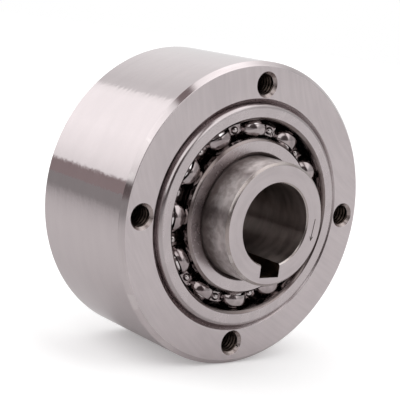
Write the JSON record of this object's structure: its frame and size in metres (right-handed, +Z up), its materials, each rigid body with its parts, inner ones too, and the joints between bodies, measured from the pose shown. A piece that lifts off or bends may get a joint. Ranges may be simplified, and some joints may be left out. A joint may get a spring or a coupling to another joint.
{
  "type": "freewheel clutch",
  "caption": "One-way roller freewheel clutch: a keyed hub in a thick outer ring, carried by open ball bearings, with tapped holes in both ring faces.",
  "frame": {"origin": "centre of the shaft bore and of the ring's outside, midway between the two end faces", "axes": "Y along the shaft, the front face with the direction arrow toward -Y, +Z up, keyway straight down (-Z)"},
  "size_m": [0.075, 0.054, 0.075],
  "materials": {
    "ring_steel": "ground, warm grey, fine grinding lines",
    "hub_steel": "turned and ground, slightly mottled",
    "race_steel": "fine ground bearing steel",
    "ball_steel": "polished",
    "cage_steel": "bright pressed sheet, tumbled",
    "rivet_steel": "bright, headed",
    "roller_steel": "ground and lapped",
    "plate_steel": "turned",
    "plunger_steel": "hardened, ground",
    "spring_steel": "drawn wire, dark"
  },
  "bodies": {
    "housing": {"outer_ring": "ring_steel", "front_bearing_outer_ring": "race_steel", "rear_bearing_outer_ring": "race_steel"},
    "hub": {"inner_ring": "hub_steel", "front_side_plate": "plate_steel", "front_bearing_inner_ring": "race_steel", "rear_side_plate": "plate_steel", "rear_bearing_inner_ring": "race_steel", "spring_1": "spring_steel", "spring_2": "spring_steel", "spring_3": "spring_steel", "spring_4": "spring_steel", "spring_5": "spring_steel", "spring_6": "spring_steel", "spring_7": "spring_steel", "spring_8": "spring_steel"},
    "front_ball_set": {"front_bearing_balls": "ball_steel", "front_cage_outer_half": "cage_steel", "front_cage_inner_half": "cage_steel", "front_cage_rivets": "rivet_steel"},
    "rear_ball_set": {"rear_bearing_balls": "ball_steel", "rear_cage_outer_half": "cage_steel", "rear_cage_inner_half": "cage_steel", "rear_cage_rivets": "rivet_steel"},
    "roller_unit_1": {"roller_1": "roller_steel", "plunger_1": "plunger_steel"},
    "roller_unit_2": {"roller_2": "roller_steel", "plunger_2": "plunger_steel"},
    "roller_unit_3": {"roller_3": "roller_steel", "plunger_3": "plunger_steel"},
    "roller_unit_4": {"roller_4": "roller_steel", "plunger_4": "plunger_steel"},
    "roller_unit_5": {"roller_5": "roller_steel", "plunger_5": "plunger_steel"},
    "roller_unit_6": {"roller_6": "roller_steel", "plunger_6": "plunger_steel"},
    "roller_unit_7": {"roller_7": "roller_steel", "plunger_7": "plunger_steel"},
    "roller_unit_8": {"roller_8": "roller_steel", "plunger_8": "plunger_steel"}
  },
  "joints": [
    {"name": "hub_spin", "type": "hinge", "parent": "housing", "child": "hub", "pos_m": [0, 0, 0], "axis": [0, 1, 0], "range_deg": [0, 450]},
    {"name": "front_cage_spin", "type": "hinge", "parent": "housing", "child": "front_ball_set", "pos_m": [0, 0, 0], "axis": [0, 1, 0], "range_deg": [0, 192]},
    {"name": "rear_cage_spin", "type": "hinge", "parent": "housing", "child": "rear_ball_set", "pos_m": [0, 0, 0], "axis": [0, 1, 0], "range_deg": [0, 192]},
    {"name": "roller_slide_1", "type": "slide", "parent": "hub", "child": "roller_unit_1", "axis": [-0.3827, 0, 0.9239], "range_m": [0, 0.0007], "stiffness_N_per_m": 400, "springref_m": -0.002, "deforming": ["spring_1"]},
    {"name": "roller_slide_2", "type": "slide", "parent": "hub", "child": "roller_unit_2", "axis": [-0.9239, 0, 0.3827], "range_m": [0, 0.0007], "stiffness_N_per_m": 400, "springref_m": -0.002, "deforming": ["spring_2"]},
    {"name": "roller_slide_3", "type": "slide", "parent": "hub", "child": "roller_unit_3", "axis": [-0.9239, 0, -0.3827], "range_m": [0, 0.0007], "stiffness_N_per_m": 400, "springref_m": -0.002, "deforming": ["spring_3"]},
    {"name": "roller_slide_4", "type": "slide", "parent": "hub", "child": "roller_unit_4", "axis": [-0.3827, 0, -0.9239], "range_m": [0, 0.0007], "stiffness_N_per_m": 400, "springref_m": -0.002, "deforming": ["spring_4"]},
    {"name": "roller_slide_5", "type": "slide", "parent": "hub", "child": "roller_unit_5", "axis": [0.3827, 0, -0.9239], "range_m": [0, 0.0007], "stiffness_N_per_m": 400, "springref_m": -0.002, "deforming": ["spring_5"]},
    {"name": "roller_slide_6", "type": "slide", "parent": "hub", "child": "roller_unit_6", "axis": [0.9239, 0, -0.3827], "range_m": [0, 0.0007], "stiffness_N_per_m": 400, "springref_m": -0.002, "deforming": ["spring_6"]},
    {"name": "roller_slide_7", "type": "slide", "parent": "hub", "child": "roller_unit_7", "axis": [0.9239, 0, 0.3827], "range_m": [0, 0.0007], "stiffness_N_per_m": 400, "springref_m": -0.002, "deforming": ["spring_7"]},
    {"name": "roller_slide_8", "type": "slide", "parent": "hub", "child": "roller_unit_8", "axis": [0.3827, 0, 0.9239], "range_m": [0, 0.0007], "stiffness_N_per_m": 400, "springref_m": -0.002, "deforming": ["spring_8"]}
  ],
  "couplings": [
    {"joint": "front_cage_spin", "follows": "hub_spin", "ratio": 0.4253},
    {"joint": "rear_cage_spin", "follows": "hub_spin", "ratio": 0.4253}
  ]
}
